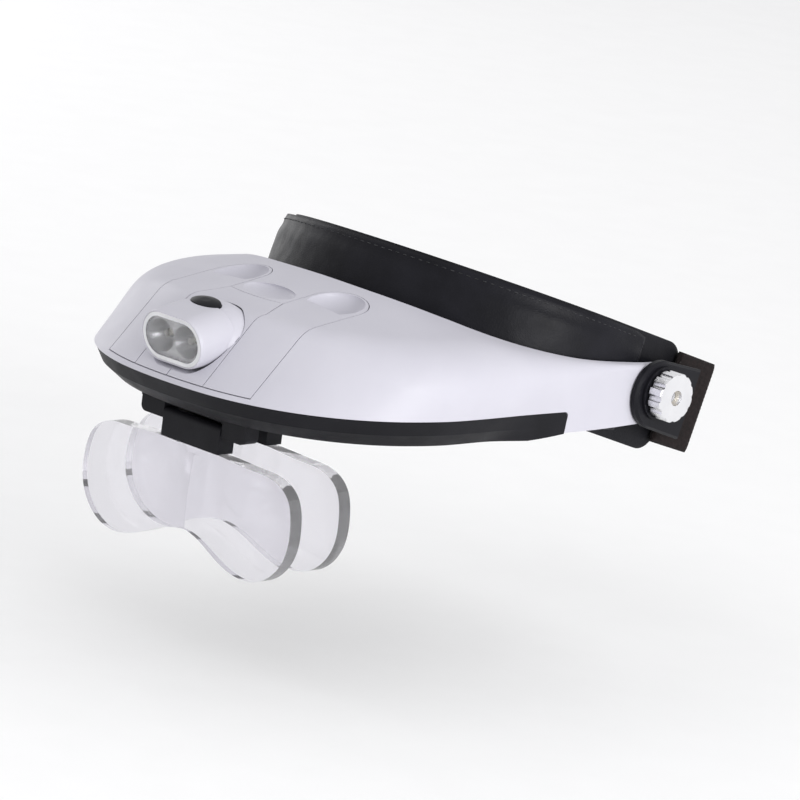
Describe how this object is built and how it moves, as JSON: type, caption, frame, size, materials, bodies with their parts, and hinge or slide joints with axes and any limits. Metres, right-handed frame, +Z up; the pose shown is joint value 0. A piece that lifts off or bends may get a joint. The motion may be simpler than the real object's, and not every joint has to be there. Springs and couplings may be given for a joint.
{
  "type": "head visor magnifier",
  "caption": "Head-worn visor magnifier: a white visor that tilts on a padded headband, with upright clear lens plates, a tilting lamp, clamp knobs and a rear strap.",
  "frame": {"origin": "middle of the temple pivot axis, halfway between the two knobs", "axes": "+X towards the wearer's left, -Y forward out of the visor, +Z up with the lens plates upright; the headband is tilted 17 degrees, front up"},
  "size_m": [0.1908, 0.2373, 0.1161],
  "materials": {
    "visor_white": "glossy white moulded plastic with a faint lavender cast",
    "trim_black": "satin near-black moulded plastic",
    "holder_black": "satin black moulded plastic",
    "inner_black": "plain black moulded plastic",
    "button_black": "smooth black button",
    "cell_jacket": "plain grey cell jacket without any marking",
    "screw_steel": "plain steel",
    "bright_plating": "bright vacuum-plated reflector",
    "clear_window": "clear polished plastic",
    "clear_lens": "clear acrylic with polished edges",
    "led_resin": "clear-yellow resin",
    "board_green": "green board",
    "leatherette": "smooth black leatherette with a soft sheen",
    "pad_cloth": "black cloth over foam",
    "strap_elastic": "brown-black woven elastic with a lighter folded edge",
    "knob_metal": "polished bright metal",
    "insert_brass": "turned brass"
  },
  "bodies": {
    "headband": {"headband_cover": "leatherette", "headband_pad": "pad_cloth", "headband_stiffener": "inner_black", "temple_bracket_left": "trim_black", "temple_bracket_right": "trim_black", "bracket_rivets": "screw_steel", "pivot_screw_left": "screw_steel", "pivot_screw_right": "screw_steel", "rear_strap": "strap_elastic", "strap_rivets": "screw_steel", "friction_washers_left": "inner_black", "friction_washers_right": "inner_black"},
    "visor": {"visor_shell": "visor_white", "lamp_cover": "visor_white", "lower_housing": "trim_black", "housing_screws": "screw_steel", "battery_tray": "inner_black", "battery_left": "cell_jacket", "battery_right": "cell_jacket", "contact_springs": "screw_steel", "contact_strips": "screw_steel", "circuit_board": "board_green", "board_posts": "inner_black", "lamp_pivot_left": "screw_steel", "lamp_pivot_right": "screw_steel", "lamp_cradle_left": "inner_black", "lamp_cradle_right": "inner_black", "lens_rail": "holder_black", "rail_screws": "screw_steel", "rail_nuts": "screw_steel", "front_hinge_pin": "screw_steel", "rear_lens_holder": "holder_black", "rear_grip_spring": "screw_steel"},
    "battery_door_left": {"battery_door_left": "visor_white"},
    "battery_door_right": {"battery_door_right": "visor_white"},
    "lamp": {"lamp_body": "visor_white", "lamp_bezel": "bright_plating", "lamp_window": "clear_window", "lamp_reflector": "bright_plating", "lamp_leds": "led_resin", "lamp_board": "board_green", "power_switch": "inner_black"},
    "power_button": {"power_button": "button_black"},
    "front_holder": {"front_lens_holder": "holder_black", "front_grip_spring": "screw_steel"},
    "front_lens": {"front_lens": "clear_lens"},
    "rear_lens": {"rear_lens": "clear_lens"},
    "knob_left": {"knob_left": "knob_metal", "knob_insert_left": "insert_brass"},
    "knob_right": {"knob_right": "knob_metal", "knob_insert_right": "insert_brass"}
  },
  "joints": [
    {"name": "visor_tilt", "type": "hinge", "parent": "headband", "child": "visor", "pos_m": [0, 0, 0], "axis": [-1, 0, 0], "range_deg": [-12, 60]},
    {"name": "knob_left_turn", "type": "hinge", "parent": "headband", "child": "knob_left", "pos_m": [0.092, 0, 0], "axis": [1, 0, 0], "continuous": true},
    {"name": "knob_right_turn", "type": "hinge", "parent": "headband", "child": "knob_right", "pos_m": [-0.092, 0, 0], "axis": [1, 0, 0], "continuous": true},
    {"name": "battery_door_left_open", "type": "hinge", "parent": "visor", "child": "battery_door_left", "pos_m": [0.0272, -0.1712, -0.0035], "axis": [1, 0, 0], "range_deg": [0, 30]},
    {"name": "battery_door_right_open", "type": "hinge", "parent": "visor", "child": "battery_door_right", "pos_m": [-0.0272, -0.1712, -0.0035], "axis": [1, 0, 0], "range_deg": [0, 30]},
    {"name": "lamp_tilt", "type": "hinge", "parent": "visor", "child": "lamp", "pos_m": [0, -0.15, 0.0095], "axis": [-1, 0, 0], "range_deg": [-2, 20]},
    {"name": "power_press", "type": "slide", "parent": "lamp", "child": "power_button", "axis": [0, 0.3159, -0.9488], "range_m": [0, 0.0006], "stiffness_N_per_m": 800},
    {"name": "front_lens_flip", "type": "hinge", "parent": "visor", "child": "front_holder", "pos_m": [0, -0.1513, -0.0222], "axis": [-1, 0, 0], "range_deg": [0, 75]},
    {"name": "front_lens_pull", "type": "slide", "parent": "front_holder", "child": "front_lens", "axis": [0, 0, -1], "range_m": [0, 0.008]},
    {"name": "rear_lens_pull", "type": "slide", "parent": "visor", "child": "rear_lens", "axis": [0, 0, -1], "range_m": [0, 0.008]}
  ]
}
